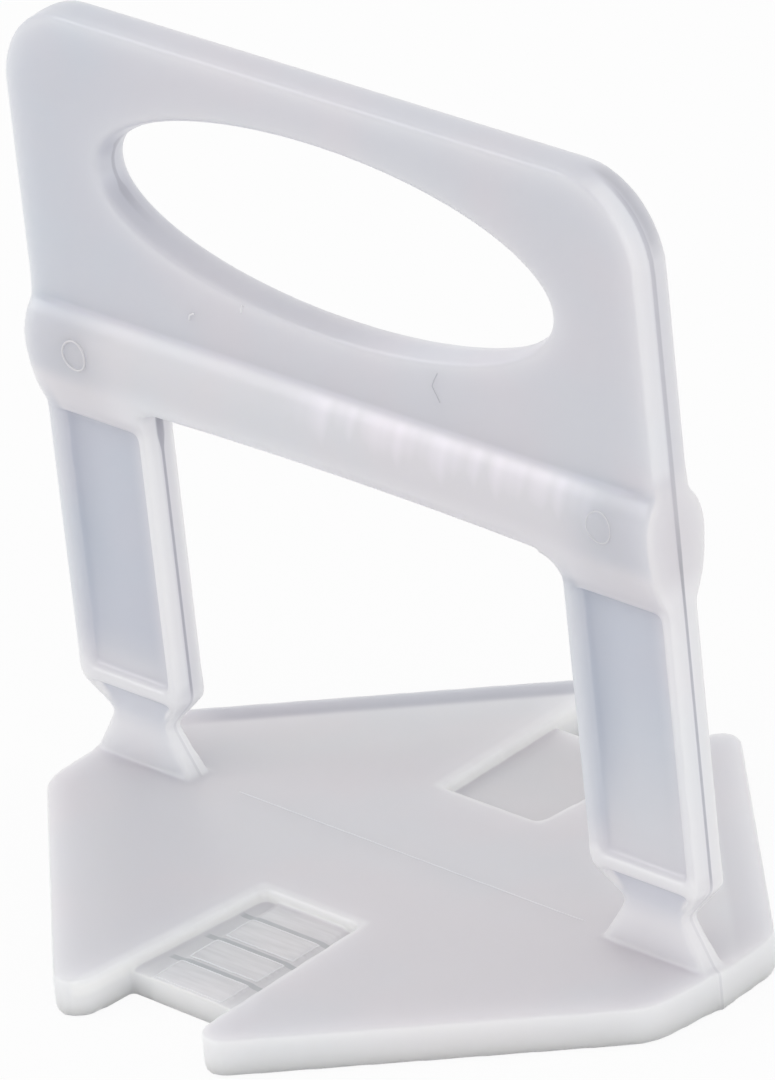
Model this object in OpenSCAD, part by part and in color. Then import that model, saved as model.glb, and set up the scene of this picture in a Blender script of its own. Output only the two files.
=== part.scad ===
// Tile levelling clip: one moulding with a grip plate, a crossbar, two legs that
// snap off at their necks, and a notched base that goes under the tiles.
// X runs along the frame, Y across it, Z up. The origin is under the middle of the base.

/* [Overall] */
// Width over the two legs
clip_w = 50; // [44:0.5:60]
// Height from the underside of the base to the top of the grip plate
clip_h = 51.5; // [46:0.5:65]
// How far the rear half of the mould stands out past the front half on each side
parting_step = 0.15; // [0:0.05:0.4]

/* [Grip plate] */
// Height of the grip plate above the crossbar
plate_h = 18.9; // [17:0.1:22]
// Thickness of the grip plate
plate_t = 2.6; // [2:0.1:3.6]
// Radius of the two top corners
plate_r = 5.5; // [2:0.25:7]
// Width of the oval hole at mid thickness
hole_w = 35.6; // [24:0.2:38]
// Height of the oval hole at mid thickness
hole_h = 11.2; // [8:0.2:12]
// Distance from the top of the plate to the middle of the oval hole
hole_drop = 9.3; // [8:0.1:11]
// How much wider the hole is at each face than at mid thickness
hole_flare = 0.35; // [0.1:0.05:0.5]

/* [Crossbar] */
// Thickness of the crossbar at its widest
bar_t = 4.6; // [3.8:0.1:6]
// Height of the crossbar beside the legs
bar_h = 5.65; // [5.2:0.05:7]
// Height of the bar's round top, from its widest line to the plate
bar_crown = 2.4; // [1.6:0.1:3]
// Rise of the arched underside between the legs
bar_arch = 0.3; // [0.1:0.05:1]
// Radius along the bar's lower edges
bar_nose_r = 1.3; // [0.4:0.1:1.4]

/* [Legs] */
// Width of a leg
leg_w = 8.4; // [7.5:0.1:10]
// Thickness of a leg, which sets the joint between tiles
leg_t = 2.34; // [2:0.02:2.6]
// Height over which a leg swells below the bar
leg_swell = 1.35; // [0.6:0.05:1.6]
// Radius between a leg and the bar's underside
leg_fillet = 0.8; // [0.5:0.1:2.5]
// Thickness of the thin panel inside a leg
panel_t = 1.1; // [0.8:0.05:1.4]
// Width of the raised border round the panel
border_w = 0.75; // [0.5:0.05:1]
// Slope of the panel's long walls, measured across
panel_draft = 0.25; // [0.1:0.05:0.4]
// Length of the slope at the foot of the panel
panel_ramp = 0.3; // [0.2:0.1:1]

/* [Break necks] */
// Height of the neck from the base to the full width of the leg
neck_h = 5.2; // [4.4:0.1:6]
// Height of the neck's waist above the base
waist_h = 2.95; // [2.2:0.05:3.2]
// Depth of the notch on each side of a neck
neck_cut = 2; // [1.6:0.05:2.4]
// Thickness of the neck at its waist
neck_t = 1.1; // [0.9:0.05:1.4]
// Radius at the bottom of the neck's notches
neck_r = 0.5; // [0.2:0.05:0.8]
// Radius at the lower corners of a leg
shoulder_r = 1.1; // [0.4:0.1:1.4]
// Thickness of the flared foot where it joins the base
foot_t = 1.6; // [1.4:0.1:2]
// Set-back of the foot from the outer side of the leg
foot_inset = 0.3; // [0.2:0.05:0.6]
// Height of the ridge between the leg's panel and the neck's hollow
lip_h = 0.8; // [0.5:0.1:1]
// Distance from the full width of the leg up to the top of the ridge
lip_rise = 0.5; // [0.2:0.05:0.8]
// Width of the rim beside the neck's hollow
neck_rim = 0.5; // [0.4:0.05:0.6]
// Thickness left between the two hollows of a neck
neck_web = 0.9; // [0.7:0.05:0.9]

/* [Base] */
// Thickness of the base
base_t = 2.5; // [2:0.1:3]
// Distance from the frame to the lobe tips, front and rear
base_reach = 22; // [20:0.2:26]
// Length of the straight ends
end_l = 10.2; // [6:0.2:12]
// How far the ends fall back from their middle
end_crown = 0.4; // [0.2:0.05:0.6]
// Radius at the corners of the ends
end_r = 3.5; // [1:0.25:4]
// Radius of the lobe tips
lobe_r = 1.4; // [0.5:0.1:1.8]
// Width of the notch at its inner end
notch_w = 7.8; // [6:0.1:10]
// Widening of each notch wall on its way to the lobe tips
notch_draft = 0.75; // [0:0.05:1]
// Distance from the frame to the inner end of the notch
notch_y = 7.5; // [6:0.1:9]
// Radius in the inner corners of the notch
notch_r = 0.5; // [0.2:0.1:1]

/* [Tongue] */
// Distance from the frame to the end of the tongue
tongue_y = 17.8; // [15:0.1:19]
// Thickness of the tongue
tongue_t = 1.55; // [1:0.05:1.7]
// Number of raised pads on the front tongue
pad_n = 4; // [2:1:4]
// Distance from one pad to the next
pad_pitch = 2.9; // [2:0.1:3.4]
// Gap between two pads
pad_gap = 0.45; // [0.2:0.05:0.8]
// Gap between the pads and the side walls
pad_side = 1.15; // [0.5:0.05:1.5]
// Height of a pad at its front edge
pad_h = 0.15; // [0.1:0.05:0.25]
// Further height of a pad at its rear edge
pad_rise = 0.1; // [0.05:0.05:0.2]
// How far the first pad stands out past the end of the tongue
pad_lead = 0.1; // [0:0.05:0.2]

/* [Hidden] */
arc_n = 10;
hole_n = 96;
arch_n = 1440;
over = 1;
sink = 0.1;
half_w = clip_w / 2;
window_half = half_w - leg_w;
leg_half = leg_t / 2;
bar_half = bar_t / 2;
plate_half = plate_t / 2;
panel_half = panel_t / 2;
hole_z = clip_h - hole_drop;
bar_top_z = clip_h - plate_h;
bar_mid_z = bar_top_z - bar_crown;
bar_under_z = bar_top_z - bar_h;
leg_top_z = bar_under_z - leg_swell;
arch_r = (window_half * window_half + bar_arch * bar_arch) / (2 * bar_arch);
arch_z = bar_under_z + bar_arch - arch_r;
waist_z = base_t + waist_h;
shoulder_z = base_t + neck_h;
lip_z = shoulder_z + lip_rise;
notch_mouth = notch_w / 2 + notch_draft;
tip_y = base_reach - lobe_r;

// Unit vector along v
function unit(v) = v / norm(v);

// Points of the arc that rounds the corner at b, between a and c
function corner(a, b, c, r) =
    let (
        u = unit(a - b),
        v = unit(c - b),
        half = acos(u * v) / 2,
        mid = b + unit(u + v) * r / sin(half),
        first = b + u * r / tan(half) - mid,
        last = b + v * r / tan(half) - mid,
        start = atan2(first.y, first.x),
        turn = (atan2(last.y, last.x) - start + 540) % 360 - 180
    )
    [for (i = [0 : arc_n])
        let (a = start + turn * i / arc_n)
        mid + r * [cos(a), sin(a)]];

// Outline through points [x, y, r], with each corner rounded by its r
function rounded(p) =
    let (n = len(p))
    [for (i = [0 : n - 1])
        let (a = p[(i + n - 1) % n], b = p[i], c = p[(i + 1) % n])
        each b[2] > 0 ? corner([a.x, a.y], [b.x, b.y], [c.x, c.y], b[2]) : [[b.x, b.y]]];

// Radius of the bar's side between its widest point [-bar_half, bar_mid_z] and [-y, z]
function swell_r(y, z) =
    let (dy = bar_half - y, dz = z - bar_mid_z)
    (dy * dy + dz * dz) / (2 * dy);

// Arc of the bar's side, from its widest point to [-y, z]
function swell(y, z) =
    let (r = swell_r(y, z), turn = asin((z - bar_mid_z) / r))
    [for (i = [0 : arc_n])
        let (a = turn * i / arc_n)
        [-bar_half + r - r * cos(a), bar_mid_z + r * sin(a)]];

// Half thickness of the bar at height z, below its widest line
function flank(z) =
    let (r = swell_r(leg_half, leg_top_z))
    bar_half - r + sqrt(r * r - (z - bar_mid_z) * (z - bar_mid_z));

// Height of the bar's arched underside at distance x from the middle
function under_z(x) = arch_z + sqrt(arch_r * arch_r - x * x);

// List p from its end to its start
function reversed(p) = [for (i = [len(p) - 1 : -1 : 0]) p[i]];

// Half width of the notch at distance y from the frame
function notch_x(y) = notch_w / 2 + notch_draft * (y - notch_y) / (tip_y - notch_y);

// Stand a front outline, drawn in X and Z, up as a slab from -depth to -from
module front_slab(depth, from = 0) {
    translate([0, -from, 0])
        rotate([90, 0, 0])
            linear_extrude(depth - from)
                children();
}

// Run a side outline, drawn in Y and Z, along X from low to high
module side_run(low, high) {
    translate([low, 0, 0])
        rotate([90, 0, 90])
            linear_extrude(high - low)
                children();
}

// Both legs from the shape of the right one
module pair() {
    children();
    mirror([1, 0, 0])
        children();
}

// Outline of the oval hole at mid thickness
module oval() {
    polygon([for (i = [0 : hole_n - 1])
        [hole_w / 2 * cos(360 * i / hole_n), hole_h / 2 * sin(360 * i / hole_n)]]);
}

// Front half of the grip plate, with the hole widening towards its face
module grip(step) {
    wide = half_w + step;
    flare = [(hole_w + 2 * hole_flare) / hole_w, (hole_h + 2 * hole_flare) / hole_h];
    difference() {
        front_slab(plate_half)
            polygon(rounded([
                [-wide, bar_mid_z, 0],
                [wide, bar_mid_z, 0],
                [wide, clip_h, plate_r],
                [-wide, clip_h, plate_r]]));
        translate([0, 0, hole_z])
            rotate([90, 0, 0])
                linear_extrude(plate_half, scale = flare)
                    oval();
    }
}

// Space under the front half of the crossbar, arched along X and rounded at the bar's edge
module underside() {
    low = under_z(0);
    high = low + 2 * bar_nose_r;
    reach = 2 * asin((half_w + over) / arch_r);
    nose = corner([arch_r, 0], [arch_r, flank(low)], [arch_r + high - low, flank(high)], bar_nose_r);
    translate([0, 0, arch_z])
        rotate([90, 0, 0])
            rotate([0, 0, 90 - reach])
                rotate_extrude(angle = 2 * reach, $fn = arch_n)
                    polygon(concat(
                        [[arch_r - bar_h, -over], [arch_r, -over]],
                        nose,
                        [[nose[arc_n].x, bar_half + over], [arch_r - bar_h, bar_half + over]]));
}

// Front half of the crossbar
module bar(step) {
    difference() {
        side_run(-half_w - step, half_w + step)
            polygon(concat(
                [[0, leg_top_z]],
                reversed(swell(leg_half, leg_top_z)),
                [for (p = swell(plate_half, bar_top_z)) if (p.y > bar_mid_z) p],
                [[0, bar_top_z]]));
        underside();
    }
}

// Right leg, neck and foot from the front
module leg_front(step) {
    outer = half_w + step;
    inner = window_half - step;
    reach = inner - leg_fillet - 2 * sink;
    polygon(rounded([
        [inner, base_t, 0],
        [outer - foot_inset, base_t, 0],
        [outer - neck_cut, waist_z, neck_r],
        [outer, shoulder_z, shoulder_r],
        [outer, bar_mid_z, 0],
        [inner + leg_w / 4, bar_mid_z, 0],
        [reach, under_z(reach) + sink, 0],
        [inner, under_z(inner), leg_fillet],
        [inner, shoulder_z, shoulder_r],
        [inner + neck_cut, waist_z, neck_r]]));
}

// Front half of a leg from the side
module leg_side() {
    polygon(concat(
        [[0, base_t], [-foot_t / 2, base_t], [-neck_t / 2, waist_z], [-leg_half, lip_z - lip_h]],
        reversed(swell(leg_half, leg_top_z)),
        [[0, bar_mid_z]]));
}

// Hollow over the thin panel of the right leg, with sloping walls
module panel_hollow() {
    left = window_half + border_w;
    right = half_w - border_w;
    slope = panel_draft / (leg_half - panel_half);
    rise = panel_ramp / (leg_half - panel_half);
    top = leg_top_z - border_w / 2;
    intersection() {
        translate([0, 0, lip_z])
            linear_extrude(top - lip_z)
                polygon([
                    [left + panel_draft, -panel_half],
                    [right - panel_draft, -panel_half],
                    [right + over * slope, -leg_half - over],
                    [left - over * slope, -leg_half - over]]);
        side_run(left - over, right + over)
            polygon([
                [-panel_half, lip_z + panel_ramp],
                [-panel_half, top],
                [-leg_half - over, top],
                [-leg_half - over, lip_z - over * rise]]);
    }
}

// Hollow under the ridge of the right leg, running out at the waist
module neck_hollow() {
    inner = window_half;
    lean = neck_cut / (shoulder_z - waist_z);
    low = waist_z + neck_rim / 2;
    high = lip_z - lip_h;
    front_slab(leg_half + over, neck_web / 2)
        polygon([
            [inner + neck_cut - lean * (low - waist_z) + neck_rim, low],
            [half_w - neck_cut + lean * (low - waist_z) - neck_rim, low],
            [half_w - neck_cut + lean * (high - waist_z) - neck_rim, high],
            [inner + neck_cut - lean * (high - waist_z) + neck_rim, high]]);
}

// Front half of the right leg
module leg(step) {
    difference() {
        intersection() {
            front_slab(bar_half + over)
                leg_front(step);
            side_run(0, half_w + over)
                leg_side();
        }
        panel_hollow();
        neck_hollow();
    }
}

// Right half of the base's front outline, from the middle of the end to the tongue
function base_side(step) =
    let (
        end = [half_w + step, 0],
        bend = [half_w + step - end_crown, -end_l / 2],
        tip = [notch_mouth + lobe_r, -tip_y],
        span = bend - tip,
        last = atan2(span.y, span.x) - acos(lobe_r / norm(span)),
        lobe = [for (i = [0 : arc_n])
            let (a = last + (-180 - last) * i / arc_n)
            tip + lobe_r * [cos(a), sin(a)]]
    )
    concat([end], corner(end, bend, lobe[0], end_r), lobe, [[notch_x(tongue_y), -tongue_y]]);

// Front half of the base, with the notch open past the tongue
module base(step) {
    side = base_side(step);
    difference() {
        linear_extrude(base_t)
            polygon(concat(side, reversed([for (p = side) [-p.x, p.y]])));
        translate([0, 0, tongue_t])
            linear_extrude(base_t)
                polygon(rounded([
                    [-notch_x(notch_y), -notch_y, notch_r],
                    [-notch_x(tip_y), -tip_y, 0],
                    [notch_x(tip_y), -tip_y, 0],
                    [notch_x(notch_y), -notch_y, notch_r]]));
    }
}

// Raised pads across the front tongue, each rising towards the frame
module pads() {
    wide = notch_w / 2 - pad_side;
    low = tongue_t + pad_h;
    for (i = [0 : pad_n - 1]) {
        front = i * pad_pitch - tongue_y - pad_lead;
        rear = front + pad_pitch - pad_gap;
        side_run(-wide, wide)
            polygon([[front, 0], [rear, 0], [rear, low + pad_rise], [front, low]]);
    }
}

// All that one half of the mould forms
module half(step) {
    grip(step);
    bar(step);
    pair()
        leg(step);
    base(step);
}

// Both halves of the moulding, with the pads of the front tongue
module clip() {
    color("ghostwhite") {
        half(0);
        mirror([0, 1, 0])
            half(parting_step);
        pads();
    }
}

clip();
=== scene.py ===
import math
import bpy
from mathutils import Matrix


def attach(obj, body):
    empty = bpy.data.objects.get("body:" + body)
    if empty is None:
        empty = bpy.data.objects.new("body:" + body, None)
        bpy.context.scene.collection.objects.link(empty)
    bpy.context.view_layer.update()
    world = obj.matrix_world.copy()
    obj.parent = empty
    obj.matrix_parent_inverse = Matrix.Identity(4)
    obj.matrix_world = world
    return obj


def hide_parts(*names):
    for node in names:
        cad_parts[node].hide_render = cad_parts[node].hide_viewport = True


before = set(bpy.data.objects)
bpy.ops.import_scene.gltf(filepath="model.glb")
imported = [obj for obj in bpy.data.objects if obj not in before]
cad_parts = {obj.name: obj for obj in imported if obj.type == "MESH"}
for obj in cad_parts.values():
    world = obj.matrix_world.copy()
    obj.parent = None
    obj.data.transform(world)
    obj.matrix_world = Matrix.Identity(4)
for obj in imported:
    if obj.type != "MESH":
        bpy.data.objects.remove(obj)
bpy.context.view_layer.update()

from types import SimpleNamespace

import bmesh
import bpy
import numpy as np
from mathutils import Matrix, Vector
from mathutils.bvhtree import BVHTree

scene = bpy.context.scene
mm = 0.001


# small helpers for node trees

def addNode(tree, kind, **values):
    node = tree.nodes.new(kind)
    for name, value in values.items():
        setattr(node, name, value)
    return node


def wire(tree, source, target):
    tree.links.new(source, target)


def feed(tree, value, socket):  # a fixed value, or another node's output
    if isinstance(value, (int, float, tuple)):
        socket.default_value = value
    else:
        wire(tree, value, socket)


def mathNode(tree, operation, first, second=None, clamp=False):
    node = addNode(tree, "ShaderNodeMath", operation=operation, use_clamp=clamp)
    feed(tree, first, node.inputs[0])
    if second is not None:
        feed(tree, second, node.inputs[1])
    return node.outputs[0]


def vectorMath(tree, operation, first, second):
    node = addNode(tree, "ShaderNodeVectorMath", operation=operation)
    feed(tree, first, node.inputs[0])
    feed(tree, second, node.inputs["Scale" if operation == "SCALE" else 1])
    return node.outputs[0]


def remap(tree, value, fromLow, fromHigh, toLow=0.0, toHigh=1.0, smooth=True):
    node = addNode(tree, "ShaderNodeMapRange", interpolation_type="SMOOTHSTEP" if smooth else "LINEAR")
    wire(tree, value, node.inputs["Value"])
    for name, number in (("From Min", fromLow), ("From Max", fromHigh), ("To Min", toLow), ("To Max", toHigh)):
        node.inputs[name].default_value = number
    return node.outputs["Result"]


def mixColour(tree, factor, first, second, blend="MIX"):
    node = addNode(tree, "ShaderNodeMix", data_type="RGBA", blend_type=blend)
    for value, socket in ((factor, 0), (first, 6), (second, 7)):  # the node's sockets for colours
        feed(tree, (*value, 1.0) if isinstance(value, tuple) else value, node.inputs[socket])
    return node.outputs[2]


def newGroup(name, kind, inputs, outputs):
    group = bpy.data.node_groups.new(name, kind)
    for way, sockets in (("INPUT", inputs), ("OUTPUT", outputs)):
        for label, socket in sockets.items():
            group.interface.new_socket(label, in_out=way, socket_type="NodeSocket" + socket)
    return group, addNode(group, "NodeGroupInput").outputs, addNode(group, "NodeGroupOutput").inputs


def linkObject(name, data):
    obj = bpy.data.objects.new(name, data)
    scene.collection.objects.link(obj)
    return obj


def applyModifiers(obj):
    view = bpy.context.evaluated_depsgraph_get()
    mesh = bpy.data.meshes.new_from_object(obj.evaluated_get(view))
    obj.modifiers.clear()
    old = obj.data
    obj.data = mesh
    bpy.data.meshes.remove(old)


# camera, solved on the photograph's edges

cameraSet = {
    "place": (0.386345, -0.358818, 0.282916),
    "aim": (0.001734, -0.00005, 0.023362),
    "roll": -6.228,  # degrees
    "lens": 343.2,
    "sensor": 36.0,
}


def makeCamera():
    data = bpy.data.cameras.new("photoCamera")
    data.lens = cameraSet["lens"]
    data.sensor_width = cameraSet["sensor"]
    data.clip_start = 0.01
    camera = linkObject("photoCamera", data)
    place = Vector(cameraSet["place"])
    look = (Vector(cameraSet["aim"]) - place).to_track_quat("-Z", "Y").to_matrix().to_4x4()
    camera.matrix_world = Matrix.Translation(place) @ look @ Matrix.Rotation(math.radians(cameraSet["roll"]), 4, "Z")
    scene.camera = camera


makeCamera()
print("camera set")


# floor, world and lamps

stageSet = {
    "floorSize": 6.0,
    "floorLevel": -0.02 * mm,
    "floorColour": (0.9, 0.9, 0.9),
    "floorGlow": 0.9,  # share of the floor that shows as plain white
    "skyLight": 0.82,
    "lampAim": (0, 0, 0.025),
    "keyPower": 2.1,
    "keyPlace": (0.98, -0.05, 0.34),
    "keySize": 1.3,
    "fillPower": 1.3,
    "fillPlace": (-0.66, -0.58, 0.5),
    "fillSize": 0.35,
}


def seenRay(tree):
    path = addNode(tree, "ShaderNodeLightPath")
    seen = mathNode(tree, "MAXIMUM", path.outputs["Is Camera Ray"], path.outputs["Is Glossy Ray"])
    return mathNode(tree, "MAXIMUM", seen, path.outputs["Is Transmission Ray"])


def makeFloor():
    mesh = bpy.data.meshes.new("floor")
    half, low = stageSet["floorSize"] / 2, stageSet["floorLevel"]
    corners = [(-half, -half, low), (half, -half, low), (half, half, low), (-half, half, low)]
    mesh.from_pydata(corners, [], [(0, 1, 2, 3)])
    floor = linkObject("floor", mesh)
    material = bpy.data.materials.new("paleFloor")
    material.use_nodes = True
    tree = material.node_tree
    tree.nodes.clear()
    cloth = addNode(tree, "ShaderNodeBsdfDiffuse")
    cloth.inputs["Color"].default_value = (*stageSet["floorColour"], 1.0)
    white = addNode(tree, "ShaderNodeEmission")
    white.inputs["Strength"].default_value = 1.0
    both = addNode(tree, "ShaderNodeMixShader")
    wire(tree, mathNode(tree, "MULTIPLY", seenRay(tree), stageSet["floorGlow"]), both.inputs[0])
    wire(tree, cloth.outputs[0], both.inputs[1])
    wire(tree, white.outputs[0], both.inputs[2])
    wire(tree, both.outputs[0], addNode(tree, "ShaderNodeOutputMaterial").inputs["Surface"])
    mesh.materials.append(material)


def makeWorld():
    world = bpy.data.worlds.new("studio")
    scene.world = world
    world.use_nodes = True
    tree = world.node_tree
    tree.nodes.clear()
    sky = addNode(tree, "ShaderNodeBackground")
    sky.inputs["Strength"].default_value = stageSet["skyLight"]
    white = addNode(tree, "ShaderNodeBackground")
    for light in (sky, white):
        light.inputs["Color"].default_value = (1, 1, 1, 1)
    both = addNode(tree, "ShaderNodeMixShader")
    wire(tree, seenRay(tree), both.inputs[0])
    wire(tree, sky.outputs[0], both.inputs[1])
    wire(tree, white.outputs[0], both.inputs[2])
    wire(tree, both.outputs[0], addNode(tree, "ShaderNodeOutputWorld").inputs["Surface"])


def makeLamp(name):
    data = bpy.data.lights.new(name + "Lamp", "AREA")
    data.energy = stageSet[name + "Power"]
    data.size = stageSet[name + "Size"]
    lamp = linkObject(name + "Lamp", data)
    place = Vector(stageSet[name + "Place"])
    turn = (Vector(stageSet["lampAim"]) - place).to_track_quat("-Z", "Y").to_matrix().to_4x4()
    lamp.matrix_world = Matrix.Translation(place) @ turn


makeFloor()
makeWorld()
makeLamp("key")
makeLamp("fill")
scene.view_settings.view_transform = "Standard"
print("stage set")


# the moulding: the clip's solid with softened edges

clipSet = {
    "mergeGap": 0.001 * mm,
    "voxel": 0.14 * mm,
    "smoothSteps": 26,
    "smoothFactor": 0.5,
    "common": 0.6,  # share of the smoothing for most of the moulding
    "legs": 0.85,  # on the legs' borders
    "seam": 0.06,  # beside the parting line
    "tongue": 0.16,  # on both tongues
    "grip": 1.0,  # on the plate and round its hole
    "amountSpread": 4,  # smoothing steps for those shares
    "triangles": 185000,
    "rayStart": 0.03 * mm,  # below the surface
    "depthRays": 9,
    "depthTurn": 2.4,  # radians from ray to ray
    "depthSpread": 0.55,
    "depthFull": 5.0 * mm,
    "rimRays": 8,
    "rimSink": 0.27,  # how far the sideways rays dip inwards
    "rimFull": 1.5 * mm,
    "spread": 6,  # smoothing steps for normals and attributes
}


def mergedCopy(node):
    mesh = node.data.copy()
    work = bmesh.new()
    work.from_mesh(mesh)
    bmesh.ops.remove_doubles(work, verts=work.verts, dist=clipSet["mergeGap"])
    work.to_mesh(mesh)
    work.free()
    mesh.materials.clear()
    return mesh


def vertexArray(mesh, name):
    values = np.empty(len(mesh.vertices) * 3)
    mesh.vertices.foreach_get(name, values)
    return values.reshape(-1, 3)


def relax(mesh, values, factor, steps):  # moves each vertex's values towards its neighbours'
    pairs = np.empty(len(mesh.edges) * 2, dtype=np.int64)
    mesh.edges.foreach_get("vertices", pairs)
    first, second = pairs[0::2], pairs[1::2]
    count = len(mesh.vertices)
    share = np.maximum(np.bincount(first, minlength=count) + np.bincount(second, minlength=count), 1)
    values = values.copy()
    for step in range(steps):
        for column in range(values.shape[1]):
            line = values[:, column]
            total = np.bincount(first, line[second], count) + np.bincount(second, line[first], count)
            values[:, column] = line + factor * (total / share - line)
    return values


def blend(values, low, high):
    part = np.clip((values - low) / (high - low), 0.0, 1.0)
    return part * part * (3 - 2 * part)


def softness(points, normals):  # how much each place of the moulding is rounded
    x, y, z = (points / mm).T
    amount = np.full(len(points), clipSet["common"])
    amount += (clipSet["grip"] - amount) * blend(z, 33.2, 34.2)
    amount += (clipSet["legs"] - amount) * blend(z, 8.4, 9.4) * blend(z, 27.0, 26.0)
    tongue = blend(np.abs(x), 5.2, 4.4) * blend(np.abs(y), 6.6, 7.2) * blend(z, 2.4, 1.9)
    amount += (clipSet["tongue"] - amount) * tongue
    seam = blend(np.abs(y), 0.5, 0.25) * blend(np.abs(normals[:, 0]), 0.3, 0.6)
    amount += (clipSet["seam"] - amount) * seam
    return amount


def softClip():
    clip = linkObject("clipMoulding", mergedCopy(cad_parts["clip"]))
    remesh = clip.modifiers.new("remesh", "REMESH")
    remesh.mode = "VOXEL"
    remesh.voxel_size = clipSet["voxel"]
    applyModifiers(clip)
    print("clip remeshed to", len(clip.data.polygons), "faces")
    mesh = clip.data
    points = vertexArray(mesh, "co")
    normals = relax(mesh, vertexArray(mesh, "normal"), clipSet["smoothFactor"], clipSet["spread"])
    amount = softness(points, normals)[:, None]
    amount = relax(mesh, amount, clipSet["smoothFactor"], clipSet["amountSpread"])[:, 0]
    points = relax(mesh, points, clipSet["smoothFactor"] * amount, clipSet["smoothSteps"])
    mesh.vertices.foreach_set("co", points.ravel())
    mesh.update()
    count = sum(len(face.vertices) - 2 for face in mesh.polygons)
    thin = clip.modifiers.new("thin", "DECIMATE")
    thin.ratio = min(1.0, clipSet["triangles"] / count)
    applyModifiers(clip)
    clip.data.shade_smooth()
    print("clip thinned to", len(clip.data.polygons), "faces")
    return clip


def markPlastic(clip):  # depth of plastic, nearness of an edge and side walls, as attributes
    mesh = clip.data
    points = vertexArray(mesh, "co")
    normals = vertexArray(mesh, "normal")
    tree = BVHTree.FromPolygons([tuple(p) for p in points], [tuple(face.vertices) for face in mesh.polygons])
    rays = clipSet["depthRays"]
    turns = [clipSet["depthTurn"] * i for i in range(rays)]
    wide = [math.sqrt(i / rays) * clipSet["depthSpread"] for i in range(rays)]
    cone = [(math.cos(turn), math.sin(turn), share) for turn, share in zip(turns, wide)]
    rays = clipSet["rimRays"]
    turns = [2 * math.pi * i / rays for i in range(rays)]
    fan = [(math.cos(turn), math.sin(turn)) for turn in turns]
    depth = np.empty(len(points))
    rim = np.empty(len(points))
    full, near = clipSet["depthFull"], clipSet["rimFull"]
    for i in range(len(points)):
        inward = -Vector(normals[i])
        side = inward.orthogonal().normalized()
        other = inward.cross(side)
        start = Vector(points[i]) + inward * clipSet["rayStart"]
        total = 0.0
        for along, across, share in cone:
            hit = tree.ray_cast(start, (inward + (side * along + other * across) * share).normalized(), full)
            total += full if hit[3] is None else hit[3]
        depth[i] = total / (full * len(cone))
        total = 0.0
        for along, across in fan:
            hit = tree.ray_cast(start, (inward * clipSet["rimSink"] + side * along + other * across).normalized(), near)
            total += near if hit[3] is None else hit[3]
        rim[i] = 1 - total / (near * len(fan))
    values = np.stack([depth, rim, np.abs(normals[:, 0]), np.abs(normals[:, 2])], axis=1)
    values = relax(mesh, values, clipSet["smoothFactor"], clipSet["spread"])
    for column, name in enumerate(("depth", "rim", "wall", "flat")):
        layer = mesh.attributes.new(name, "FLOAT", "POINT")
        layer.data.foreach_set("value", values[:, column].astype(np.float32))
        print(name, "from", round(float(values[:, column].min()), 3), "to", round(float(values[:, column].max()), 3))


# milky plastic

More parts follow.
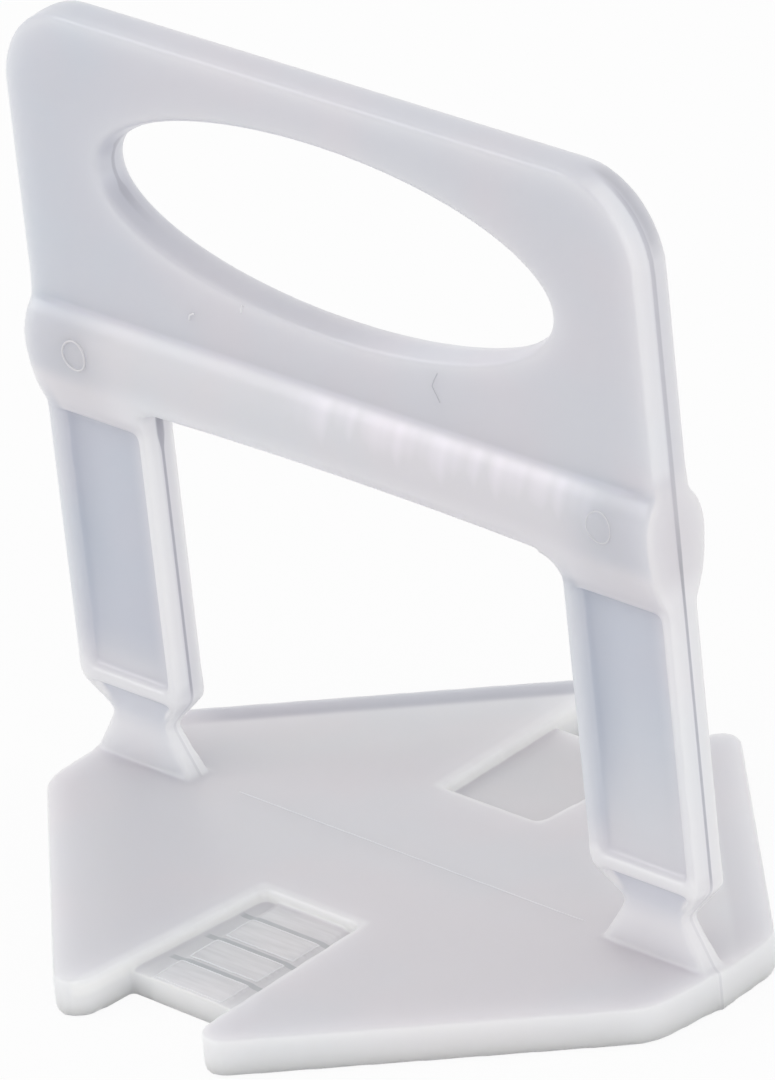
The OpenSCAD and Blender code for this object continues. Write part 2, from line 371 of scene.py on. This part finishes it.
milkSet = {  # colours, shares of them, and places on the part in millimetres
    "middle": (0.635, 0.631, 0.657),  # most of the moulding
    "thick": (0.695, 0.69, 0.708),
    "base": (0.69, 0.674, 0.702),
    # painted light: whitening that stands for light coming through edges, necks, lips, walls and the bar's lower side
    "edge": (0.80, 0.80, 0.82),
    "edgeLegs": 0.35,  # how far edges whiten with painted light on the legs
    "edgeRest": 0.04,
    "legPitch": 41.6,  # between the middles of the legs
    "panel": (0.47, 0.49, 0.54),  # painted shade on the thin webs of the legs
    # painted light at the foot of the webs, and painted shade on the left of each web
    "panelPaintedLight": (0.585, 0.59, 0.612),
    "panelPaintedShade": (0.42, 0.44, 0.49),
    "legLeftShade": (0.51, 0.53, 0.575),  # painted shade on the left borders
    "legLeftShadeShare": 0.75,
    # painted light on the right borders and on the inner wall of the left leg, in the wall colour
    "legRightLightShare": 0.35,
    "legInsideLightShare": 0.45,
    "seamColour": (0.30, 0.30, 0.34),
    "seamShare": 0.68,
    "seamHalf": (0.08, 0.13),  # millimetres, at the legs and at the plate
    "seamInner": (0.0, 0.16),  # more at the top of the walls that face inwards
    "seamNeck": 0.35,  # share that is left on the necks
    "seamPlate": 0.55,
    # painted light on the necks and the lips over them
    "neckLightShare": 0.4,
    "lipLightShare": (0.25, 0.65),  # left and right leg
    # painted shade in the hollows under the lips
    "hollow": (0.50, 0.522, 0.575),
    "hollowShare": 0.75,
    "underLightShare": 0.55,  # painted light on the lower side of the bar
    # painted shade on the bar's front near its ends
    "barEndShade": (0.585, 0.597, 0.632),
    "barEndShadeShare": 0.9,
    "fingers": (0.62, 28.3, 4.4, 0.4),  # fineness, lowest end, spread of the ends, rise for each millimetre
    # painted highlight in the fingers down the bar's front
    "streakHighlight": (0.86, 0.83, 0.88),
    "streakHighlightShare": 0.7,
    # painted light along the crease between plate and bar
    "creaseLight": (0.80, 0.79, 0.83),
    "creaseLightShare": 0.3,
    # painted shade on the plate's top edge
    "plateEdgeShade": (0.91, 0.91, 0.925),
    "plateTurnShade": (0.8, 0.8, 0.805),  # painted shade on the rear half of the right corner
    "beadLightShare": 0.55,  # painted light on the front half of the right side
    "hole": (42.2, 17.8, 5.6),  # height of its middle, half width and half height
    "sillShadeAndLight": (0.93, 1.12),  # painted shade to painted light along the hole's lower wall
    "coolSide": (0.955, 0.985, 1.0),
    "wall": (0.88, 0.88, 0.90),  # painted light on the edges of the base, also on the legs' right borders and inner walls
    "wallLightShare": 0.68,
    "wallFootLight": 1.0,  # painted light near the floor
    "notchSide": (0.0573, 3.47),  # slope and half width
    # painted light on the walls of the notches and on the front tongue
    "notchWallLight": (0.95, 0.95, 0.965),
    "notchLightShare": 1.0,
    "tongueLightShare": 0.4,
    "rearEdge": (0.683, 0.73),  # direction across the slanted rear edges of the base
    "rearBandShade": (0.47, 0.47, 0.51),  # painted shade: a dark band where the lower edge shows through at the rear left
    "rearBandShadeShare": 0.9,
    # painted light beside the rear band and on the rims of the notches
    "rearBandLight": 0.5,
    "notchRimLight": 0.7,
    "padRows": (2.9, 16.675),  # pitch, and the place where it starts
    "comb": (0.3, 2.8, 0.0),  # fineness of the brushing along each axis
    "brushed": (0.98, 1.08),  # pads of the front tongue
    # painted shade in the gaps between the pads
    "gap": (0.50, 0.515, 0.53),
    "gapShadeShare": 0.8,
    "lightMark": (0.84, 0.84, 0.86),
    "ringMark": (0.72, 0.72, 0.74),
    # painted highlight: colour of the light beads round the pads
    "padHighlight": (0.82, 0.82, 0.84),
    "darkMark": (0.53, 0.53, 0.57),
    "coolTint": (0.985, 1.0, 1.012),
    "warmTint": (1.012, 0.998, 1.006),
    "cloud": 0.09,  # fineness of the clouds
    "rough": 0.28,
    "ior": 1.49,
    "subsurface": 1.0,
    "radius": (4.6, 4.6, 4.8),
}


def placeInMm(tree):
    return vectorMath(tree, "SCALE", addNode(tree, "ShaderNodeTexCoord").outputs["Object"], 1 / mm)


def fadeMask(tree, *steps):  # product of smooth steps, each of a value from one number to another
    mask = None
    for value, start, end in steps:
        part = remap(tree, value, start, end)
        mask = part if mask is None else mathNode(tree, "MULTIPLY", mask, part)
    return mask


def noiseOf(tree, place, scale):
    node = addNode(tree, "ShaderNodeTexNoise")
    wire(tree, place, node.inputs["Vector"])
    node.inputs["Scale"].default_value = scale
    return node.outputs["Fac"]


def toned(tree, colour, mask, share, tone):  # mixes a tone in where the mask is
    return mixColour(tree, mathNode(tree, "MULTIPLY", mask, share), colour, tone)


def shaded(tree, colour, mask, tone):  # multiplies by a tone where the mask is
    return mixColour(tree, mask, colour, mixColour(tree, 1.0, colour, tone, "MULTIPLY"))


def skinGroup():  # slow colour clouds of the moulded skin
    group, given, result = newGroup("mouldSkin", "ShaderNodeTree", {"Colour": "Color"}, {"Colour": "Color"})
    cloud = remap(group, noiseOf(group, placeInMm(group), milkSet["cloud"]), 0.36, 0.64)
    tint = mixColour(group, cloud, milkSet["coolTint"], milkSet["warmTint"])
    wire(group, mixColour(group, 1.0, given["Colour"], tint, "MULTIPLY"), result["Colour"])
    return group


def readSurface(tree):  # where a point lies, in millimetres, and what the moulding is like there
    at = SimpleNamespace(place=placeInMm(tree))
    parts = addNode(tree, "ShaderNodeSeparateXYZ")
    wire(tree, at.place, parts.inputs[0])
    at.x, at.y, at.z = parts.outputs
    at.size = mathNode(tree, "ABSOLUTE", at.x)
    at.off = mathNode(tree, "ABSOLUTE", at.y)
    mirror = mathNode(tree, "MULTIPLY", mathNode(tree, "LESS_THAN", at.x, 0.0), milkSet["legPitch"])
    at.leg = mathNode(tree, "ADD", at.x, mirror)  # across either leg, from 16.6 on its left to 25 on its right
    for name in ("depth", "rim", "wall", "flat"):
        setattr(at, name, addNode(tree, "ShaderNodeAttribute", attribute_name=name).outputs["Fac"])
    return at


def bodyTones(tree, at):
    low = mixColour(tree, remap(tree, at.z, 2.9, 2.4), milkSet["middle"], milkSet["base"])
    return mixColour(tree, fadeMask(tree, (at.depth, 0.62, 0.92), (at.z, 34.5, 32.5)), low, milkSet["thick"])


def webPaintedShade(tree, at):  # painted shade on the thin webs, painted light towards their foot and more painted shade on the left of each web higher up; the right web lightens further up than the left one
    reach = remap(tree, at.x, -10.0, 10.0, 12.0, 22.0)
    part = mathNode(tree, "DIVIDE", mathNode(tree, "SUBTRACT", at.z, 7.0), mathNode(tree, "SUBTRACT", reach, 7.0))
    web = mixColour(tree, remap(tree, part, 0.0, 1.0), milkSet["panelPaintedLight"], milkSet["panel"])
    return mixColour(tree, fadeMask(tree, (at.leg, 21.0, 17.6), (at.z, 10.0, 18.0)), web, milkSet["panelPaintedShade"])


def legTones(tree, at, colour):  # webs in painted shade, edges whitened with painted light, painted shade on the left borders, painted light on the right borders and inner walls
    panel = fadeMask(tree, (at.off, 1.05, 0.58), (at.z, 7.6, 10.2), (at.z, 26.0, 24.5), (at.wall, 0.5, 0.2),
                     (at.leg, 24.7, 22.6))
    colour = mixColour(tree, panel, colour, webPaintedShade(tree, at))
    # painted light: edges near the rim whiten, most on the legs
    legs = fadeMask(tree, (at.z, 3.0, 4.0), (at.z, 27.5, 25.0))
    share = remap(tree, legs, 0.0, 1.0, milkSet["edgeRest"], milkSet["edgeLegs"], False)
    share = mathNode(tree, "MULTIPLY", share, remap(tree, at.leg, 16.6, 24.6, 0.3, 1.0))
    share = mathNode(tree, "MULTIPLY", share, remap(tree, at.x, -15.0, 15.0, 2.0, 0.7))
    colour = toned(tree, colour, remap(tree, at.rim, 0.08, 0.42), share, milkSet["edge"])
    # painted shade on the left borders, painted light on the right borders and on the inner wall of the left leg
    left = fadeMask(tree, (at.leg, 18.3, 17.6), (at.leg, 15.6, 16.3), (at.z, 8.0, 11.0), (at.z, 28.0, 25.0))
    colour = toned(tree, colour, left, milkSet["legLeftShadeShare"], milkSet["legLeftShade"])
    right = fadeMask(tree, (at.x, 23.5, 24.5), (at.z, 7.5, 9.0), (at.z, 28.0, 26.0), (at.wall, 0.5, 0.8))
    colour = toned(tree, colour, right, milkSet["legRightLightShare"], milkSet["wall"])
    inside = fadeMask(tree, (at.x, -17.8, -17.0), (at.x, -14.0, -16.0), (at.z, 8.0, 9.0), (at.z, 27.0, 26.0),
                      (at.wall, 0.3, 0.7), (at.y, 0.0, -0.3))
    return toned(tree, colour, inside, milkSet["legInsideLightShare"], milkSet["wall"])


def neckTones(tree, at, colour):  # painted light on the necks and the lips over them, painted shade in their hollows
    necks = fadeMask(tree, (at.z, 2.55, 2.8), (at.z, 8.6, 7.4))
    colour = toned(tree, colour, necks, milkSet["neckLightShare"], milkSet["edge"])
    lips = fadeMask(tree, (at.z, 7.2, 7.7), (at.z, 9.2, 8.4), (at.off, 0.85, 1.1))
    colour = toned(tree, colour, lips, remap(tree, at.x, -15.0, 15.0, *milkSet["lipLightShare"]), milkSet["edge"])
    # painted shade in the hollows under the lips
    hollow = fadeMask(tree, (at.z, 4.4, 6.4), (at.z, 7.7, 7.3), (at.off, 0.95, 0.5), (at.wall, 0.5, 0.2))
    return toned(tree, colour, hollow, milkSet["hollowShare"], milkSet["hollow"])


def wallTones(tree, at, colour):  # painted light on the edges of the base, the walls of the notches and the front tongue
    walls = fadeMask(tree, (at.z, 2.7, 2.3), (at.flat, 0.75, 0.35))
    walls = mathNode(tree, "MULTIPLY", walls, remap(tree, at.z, 1.8, 0.0, milkSet["wallLightShare"], milkSet["wallFootLight"]))
    inner = fadeMask(tree, (at.size, 5.6, 5.0), (at.z, 2.7, 2.4), (at.flat, 0.8, 0.4))
    walls = mathNode(tree, "ADD", walls, mathNode(tree, "MULTIPLY", inner, 0.5), True)
    colour = mixColour(tree, walls, colour, milkSet["wall"])
    # painted light on the walls of the notches and the front tongue
    notch = mathNode(tree, "MULTIPLY", inner, fadeMask(tree, (at.off, 7.0, 7.4), (at.z, 1.2, 1.7)))
    colour = toned(tree, colour, notch, milkSet["notchLightShare"], milkSet["notchWallLight"])
    tongue = fadeMask(tree, (at.size, 4.6, 4.3), (at.off, 7.0, 7.4), (at.z, 2.2, 2.0), (at.flat, 0.5, 0.8),
                      (at.y, 6.0, 5.0))
    return toned(tree, colour, tongue, milkSet["tongueLightShare"], milkSet["edge"])


def baseTones(tree, at, colour):  # painted shade in a band along the rear left edge, painted light beside it and on the rims of the notches
    top = fadeMask(tree, (at.z, 2.1, 2.4), (at.z, 3.0, 2.6))
    ways = [mathNode(tree, "MULTIPLY", way, part) for way, part in zip((at.size, at.y), milkSet["rearEdge"])]
    slant = mathNode(tree, "ADD", *ways)
    rearBandShade = mathNode(tree, "MULTIPLY", top, fadeMask(tree, (slant, 17.9, 18.9), (at.x, 1.0, -2.0), (at.y, 4.0, 7.0)))
    colour = toned(tree, colour, rearBandShade, milkSet["rearBandShadeShare"], milkSet["rearBandShade"])
    # painted light beside the rear band, and on the notch rims below
    glow = mathNode(tree, "MULTIPLY", top, fadeMask(tree, (slant, 9.0, 15.0), (slant, 18.6, 18.0), (at.y, 0.0, 6.0)))
    colour = toned(tree, colour, glow, milkSet["rearBandLight"], milkSet["edge"])
    slope, half = milkSet["notchSide"]
    mouth = mathNode(tree, "ADD", mathNode(tree, "MULTIPLY", at.off, slope), half)
    beside = mathNode(tree, "SUBTRACT", at.size, mouth)
    rims = fadeMask(tree, (beside, 0.75, 0.1), (at.off, 6.8, 7.4), (at.z, 2.0, 2.3), (at.z, 3.0, 2.6))
    return toned(tree, colour, rims, milkSet["notchRimLight"], milkSet["edge"])


def padTones(tree, at, colour):  # brushed pads of the front tongue, and painted shade in the gaps between them
    comb = vectorMath(tree, "MULTIPLY", at.place, milkSet["comb"])
    grain = remap(tree, noiseOf(tree, comb, 1.0), 0.35, 0.65, *milkSet["brushed"], False)
    pads = fadeMask(tree, (at.size, 3.0, 2.8), (at.y, -6.9, -7.2), (at.z, 1.45, 1.6), (at.z, 2.2, 2.0))
    colour = shaded(tree, colour, pads, grain)
    pitch, start = milkSet["padRows"]
    row = mathNode(tree, "FRACT", mathNode(tree, "MULTIPLY", mathNode(tree, "ADD", at.y, start), 1 / pitch))
    gap = mathNode(tree, "ABSOLUTE", mathNode(tree, "SUBTRACT", row, 0.5))
    gaps = fadeMask(tree, (gap, 0.085, 0.055), (at.size, 4.0, 3.6), (at.y, -7.6, -7.9), (at.y, -17.0, -16.5),
                    (at.z, 2.2, 2.0), (at.z, 1.3, 1.45))
    return toned(tree, colour, gaps, milkSet["gapShadeShare"], milkSet["gap"])


def barTones(tree, at, colour):  # painted light on the bar's lower side, painted shade on its cool ends
    under = fadeMask(tree, (at.z, 25.5, 26.5), (at.z, 29.5, 27.5), (at.off, 1.0, 1.4), (at.size, 21.0, 17.0))
    colour = toned(tree, colour, under, milkSet["underLightShare"], milkSet["edge"])
    ends = fadeMask(tree, (at.size, 16.5, 22.5), (at.z, 27.5, 29.0), (at.z, 33.6, 32.6), (at.wall, 0.7, 0.3))
    return toned(tree, colour, ends, milkSet["barEndShadeShare"], milkSet["barEndShade"])


def plateTones(tree, at, colour):  # painted shade on the top edge and the rear half of the right corner, painted light on the front half of the right side, painted shade and light along the hole's lower wall, cool left end
    colour = shaded(tree, colour, fadeMask(tree, (at.z, 33.5, 35.0), (at.flat, 0.15, 0.6)), milkSet["plateEdgeShade"])
    turn = fadeMask(tree, (at.x, 16.0, 22.0), (at.z, 40.0, 46.0), (at.flat, 0.05, 0.4), (at.wall, 0.05, 0.4),
                    (at.y, -0.1, 0.4))
    colour = shaded(tree, colour, turn, milkSet["plateTurnShade"])
    bead = fadeMask(tree, (at.x, 19.0, 22.0), (at.z, 33.2, 34.4), (at.wall, 0.2, 0.6), (at.y, 0.1, -0.3))
    colour = toned(tree, colour, bead, milkSet["beadLightShare"], milkSet["edge"])
    middle, *halves = milkSet["hole"]
    rise = mathNode(tree, "ABSOLUTE", mathNode(tree, "SUBTRACT", at.z, middle))
    ways = [mathNode(tree, "DIVIDE", way, half) for way, half in zip((at.size, rise), halves)]
    around = mathNode(tree, "ADD", *[mathNode(tree, "POWER", way, 2.0) for way in ways])
    sillShadeAndLight = fadeMask(tree, (around, 1.3, 1.15), (at.z, 42.0, 40.0), (at.flat, 0.3, 0.6))
    colour = shaded(tree, colour, sillShadeAndLight, remap(tree, at.x, -2.0, 9.0, *milkSet["sillShadeAndLight"]))
    return shaded(tree, colour, fadeMask(tree, (at.x, -8.0, -19.0), (at.z, 31.0, 34.0)), milkSet["coolSide"])


def barPaintedLights(tree, at, colour):  # painted highlight in fingers down the bar's front, and painted light on the crease over them
    fineness, lowest, spread, rise = milkSet["fingers"]
    finger = addNode(tree, "ShaderNodeTexNoise", noise_dimensions="1D")
    wire(tree, at.x, finger.inputs["W"])
    finger.inputs["Scale"].default_value = fineness
    finger.inputs["Detail"].default_value = 1.0
    low = mathNode(tree, "ADD", mathNode(tree, "MULTIPLY", finger.outputs["Fac"], spread), lowest)
    streak = mathNode(tree, "MULTIPLY", mathNode(tree, "SUBTRACT", at.z, low), rise, True)
    front = fadeMask(tree, (at.z, 32.9, 32.2), (at.y, -1.2, -1.7), (at.x, -5.0, 1.0), (at.x, 22.0, 17.0))
    streak = mathNode(tree, "MULTIPLY", streak, front)
    colour = toned(tree, colour, streak, milkSet["streakHighlightShare"], milkSet["streakHighlight"])
    # painted light along the crease
    crease = fadeMask(tree, (at.z, 32.35, 32.6), (at.z, 32.95, 32.7), (at.off, 2.0, 1.6), (at.size, 24.6, 22.0))
    return toned(tree, colour, crease, milkSet["creaseLightShare"], milkSet["creaseLight"])


def seamMask(tree, at):  # thin line of the parting plane on side walls
    inner = remap(tree, at.size, 17.6, 17.2)
    extra = mathNode(tree, "MULTIPLY", inner, remap(tree, at.z, 24.0, 25.4, *milkSet["seamInner"]))
    half = mathNode(tree, "ADD", extra, remap(tree, at.z, 26.0, 30.0, *milkSet["seamHalf"]))
    line = remap(tree, mathNode(tree, "DIVIDE", at.off, half), 1.3, 0.6)
    line = mathNode(tree, "MULTIPLY", line, remap(tree, at.wall, 0.35, 0.75))
    line = mathNode(tree, "MULTIPLY", line, remap(tree, at.z, 26.0, 32.0, 1.0, milkSet["seamPlate"]))
    return mathNode(tree, "MULTIPLY", line, remap(tree, at.z, 7.0, 9.0, milkSet["seamNeck"], 1.0))


def newPlastic(name):
    material = bpy.data.materials.new(name)
    material.use_nodes = True
    shader = material.node_tree.nodes["Principled BSDF"]
    shader.inputs["Roughness"].default_value = milkSet["rough"]
    shader.inputs["IOR"].default_value = milkSet["ior"]
    return material, material.node_tree, shader


def milkyPlastic(skin):
    material, tree, shader = newPlastic("milkyPlastic")
    at = readSurface(tree)
    colour = bodyTones(tree, at)
    for tones in (legTones, neckTones, wallTones, baseTones, padTones, barTones, plateTones, barPaintedLights):
        colour = tones(tree, at, colour)
    surface = addNode(tree, "ShaderNodeGroup", node_tree=skin)
    wire(tree, colour, surface.inputs["Colour"])
    colour = toned(tree, surface.outputs["Colour"], seamMask(tree, at), milkSet["seamShare"], milkSet["seamColour"])
    wire(tree, colour, shader.inputs["Base Color"])
    shader.inputs["Subsurface Weight"].default_value = milkSet["subsurface"]
    shader.inputs["Subsurface Radius"].default_value = milkSet["radius"]
    shader.inputs["Subsurface Scale"].default_value = mm
    return material


def markPlasticOf(name, skin):  # plastic of the small marks, in one of the mark colours
    material, tree, shader = newPlastic(name)
    surface = addNode(tree, "ShaderNodeGroup", node_tree=skin)
    surface.inputs["Colour"].default_value = (*milkSet[name], 1.0)
    wire(tree, surface.outputs["Colour"], shader.inputs["Base Color"])
    return material


def finishPiece(piece, whole=False):
    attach(piece, "root")
    if whole:
        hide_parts("clip")


# small marks that lie on the moulding: rings, flash, flecks and a scratch, and painted highlights round the pads

markSet = {
    "rings": [((-20.7, 30.03), 0.92, 0.07), ((21.16, 30.44), 0.92, 0.035)],  # centre in X and Z, radius, half width
    "ringSteps": 72,
    "lineSteps": 60,
    "lineFineness": 1.2,  # of the waver, for each millimetre
    "tubeSides": 8,
    "reach": 20,  # millimetres that a mark may drop onto the moulding
    "lines": {  # start, bend, end, direction onto the surface, half width, waver, colour
        "flashLine": ((-13.4, 0.05, 4), (0.0, 0.0, 4), (14.6, 0.05, 4), (0, 0, -1), 0.03, 0.10, "lightMark"),
        "fleckLong": ((-6.9, -4, 36.45), (-6.95, -4, 36.2), (-7.0, -4, 36.0), (0, 1, 0), 0.06, 0.06, "lightMark"),
        "fleckHook": ((-11.0, -4, 34.85), (-11.4, -4, 34.8), (-11.45, -4, 34.4), (0, 1, 0), 0.06, 0.06, "lightMark"),
        "hookUpper": ((8.6, -4, 36.25), (8.25, -4, 35.7), (8.07, -4, 35.3), (0, 1, 0), 0.028, 0.09, "darkMark"),
        "hookLower": ((8.07, -4, 35.3), (8.3, -4, 34.95), (8.58, -4, 34.4), (0, 1, 0), 0.03, 0.09, "darkMark"),
    },
    "padCount": 3,  # rows that carry painted highlights on their edges
    "padPitch": 2.9,
    "padFront": -17.7,
    "padSize": (5.4, 2.2),
    "padStep": 0.12,
    "padBead": 0.045,
    "padWaver": 0.16,
    "padFineness": 2.2,
    "seed": 11,
}


def newTree(name, **inputs):
    return newGroup(name, "GeometryNodeTree", inputs, {"Geometry": "Geometry"})


def layOn(group, curve, given, toward):  # drops a curve's points onto the moulding
    place = addNode(group, "GeometryNodeInputPosition").outputs[0]
    ray = addNode(group, "GeometryNodeRaycast")
    wire(group, given["Moulding"], ray.inputs["Target Geometry"])
    wire(group, place, ray.inputs["Source Position"])
    feed(group, toward, ray.inputs["Ray Direction"])
    ray.inputs["Ray Length"].default_value = markSet["reach"] * mm
    moved = addNode(group, "GeometryNodeSetPosition")
    wire(group, curve, moved.inputs["Geometry"])
    wire(group, ray.outputs["Is Hit"], moved.inputs["Selection"])
    wire(group, ray.outputs["Hit Position"], moved.inputs["Position"])
    return moved.outputs[0]


def shaken(group, curve, given, fineness):  # small sideways waver along a curve
    shake = addNode(group, "ShaderNodeTexNoise", noise_dimensions="4D")
    wire(group, addNode(group, "GeometryNodeInputPosition").outputs[0], shake.inputs["Vector"])
    wire(group, given["Seed"], shake.inputs["W"])
    shake.inputs["Scale"].default_value = fineness / mm
    offset = vectorMath(group, "SUBTRACT", shake.outputs["Color"], (0.5, 0.5, 0.5))
    bent = addNode(group, "GeometryNodeSetPosition")
    wire(group, curve, bent.inputs["Geometry"])
    wire(group, vectorMath(group, "SCALE", offset, given["Waver"]), bent.inputs["Offset"])
    return bent.outputs[0]


def asTube(group, curve, given, result):  # a fine round bead along the curve, in its material
    profile = addNode(group, "GeometryNodeCurvePrimitiveCircle", mode="RADIUS")
    profile.inputs["Resolution"].default_value = markSet["tubeSides"]
    wire(group, given["Width"], profile.inputs["Radius"])
    tube = addNode(group, "GeometryNodeCurveToMesh")
    wire(group, curve, tube.inputs["Curve"])
    wire(group, profile.outputs["Curve"], tube.inputs["Profile Curve"])
    tube.inputs["Fill Caps"].default_value = True
    real = addNode(group, "GeometryNodeRealizeInstances")
    wire(group, tube.outputs["Mesh"], real.inputs["Geometry"])
    dressed = addNode(group, "GeometryNodeSetMaterial")
    wire(group, real.outputs[0], dressed.inputs["Geometry"])
    wire(group, given["Material"], dressed.inputs["Material"])
    wire(group, dressed.outputs[0], result["Geometry"])


def ringTree():
    group, given, result = newTree("witnessRing", Moulding="Geometry", Centre="Vector", Radius="Float", Width="Float",
                                   Material="Material")
    circle = addNode(group, "GeometryNodeCurvePrimitiveCircle", mode="RADIUS")
    circle.inputs["Resolution"].default_value = markSet["ringSteps"]
    wire(group, given["Radius"], circle.inputs["Radius"])
    upright = addNode(group, "GeometryNodeTransform")
    wire(group, circle.outputs["Curve"], upright.inputs["Geometry"])
    wire(group, given["Centre"], upright.inputs["Translation"])
    upright.inputs["Rotation"].default_value = (math.pi / 2, 0, 0)
    asTube(group, layOn(group, upright.outputs[0], given, (0, 1, 0)), given, result)
    return group


def lineTree():
    group, given, result = newTree("hairLine", Moulding="Geometry", Start="Vector", Bend="Vector", End="Vector",
                                   Toward="Vector", Width="Float", Waver="Float", Seed="Float", Material="Material")
    arc = addNode(group, "GeometryNodeCurveQuadraticBezier")
    arc.inputs["Resolution"].default_value = markSet["lineSteps"]
    for name, label in (("Start", "Start"), ("Middle", "Bend"), ("End", "End")):
        wire(group, given[label], arc.inputs[name])
    bent = shaken(group, arc.outputs[0], given, markSet["lineFineness"])
    asTube(group, layOn(group, bent, given, given["Toward"]), given, result)
    return group


def padHighlightTree():  # painted highlights: fine light beads round pads of the front tongue
    group, given, result = newTree("padEdgeHighlights", Moulding="Geometry", Count="Int", First="Vector", Pitch="Vector",
                                   Across="Float", Along="Float", Width="Float", Waver="Float", Seed="Float",
                                   Material="Material")
    row = addNode(group, "GeometryNodeMeshLine", mode="OFFSET")
    for name, label in (("Count", "Count"), ("Start Location", "First"), ("Offset", "Pitch")):
        wire(group, given[label], row.inputs[name])
    pad = addNode(group, "GeometryNodeCurvePrimitiveQuadrilateral")
    wire(group, given["Across"], pad.inputs["Width"])
    wire(group, given["Along"], pad.inputs["Height"])
    each = addNode(group, "GeometryNodeInstanceOnPoints")
    wire(group, row.outputs["Mesh"], each.inputs["Points"])
    wire(group, pad.outputs[0], each.inputs["Instance"])
    whole = addNode(group, "GeometryNodeRealizeInstances")
    wire(group, each.outputs[0], whole.inputs["Geometry"])
    fine = addNode(group, "GeometryNodeResampleCurve", mode="LENGTH")
    wire(group, whole.outputs[0], fine.inputs["Curve"])
    fine.inputs["Length"].default_value = markSet["padStep"] * mm
    bent = shaken(group, fine.outputs[0], given, markSet["padFineness"])
    asTube(group, layOn(group, bent, given, (0, 0, -1)), given, result)
    return group


def bakedMark(name, group, clip, values):
    mark = linkObject(name, clip.data.copy())
    nodes = mark.modifiers.new("marks", "NODES")
    nodes.node_group = group
    for item in group.interface.items_tree:
        if item.in_out == "INPUT" and item.name in values:
            nodes[item.identifier] = values[item.name]
    mark.update_tag()
    applyModifiers(mark)
    mark.data.shade_smooth()
    finishPiece(mark)


def scaled(values, factor=mm):
    return tuple(float(v) * factor for v in values)


def makeMarks(clip, skin):
    colours = {name: markPlasticOf(name, skin) for name in ("lightMark", "ringMark", "padHighlight", "darkMark")}
    rings, lines = ringTree(), lineTree()
    for i, ((x, z), radius, width) in enumerate(markSet["rings"]):
        bakedMark("ring" + str(i), rings, clip, {
            "Centre": scaled((x, -10, z)),
            "Radius": radius * mm,
            "Width": width * mm,
            "Material": colours["ringMark"],
        })
    across, along = markSet["padSize"]
    bakedMark("padEdgeHighlights", padHighlightTree(), clip, {
        "Count": markSet["padCount"],
        "First": scaled((0, markSet["padFront"] + along / 2, 4)),
        "Pitch": scaled((0, markSet["padPitch"], 0)),
        "Across": across * mm,
        "Along": along * mm,
        "Width": markSet["padBead"] * mm,
        "Waver": markSet["padWaver"] * mm,
        "Seed": float(markSet["seed"]),
        "Material": colours["padHighlight"],
    })
    for i, (name, (start, bend, end, toward, width, waver, colour)) in enumerate(markSet["lines"].items()):
        bakedMark(name, lines, clip, {
            "Start": scaled(start),
            "Bend": scaled(bend),
            "End": scaled(end),
            "Toward": scaled(toward, 1),
            "Width": width * mm,
            "Waver": waver * mm,
            "Seed": float(markSet["seed"] + i),
            "Material": colours[colour],
        })
    print("marks made")


skin = skinGroup()
clip = softClip()
markPlastic(clip)
clip.data.materials.append(milkyPlastic(skin))
finishPiece(clip, True)
print("clip finished")
makeMarks(clip, skin)
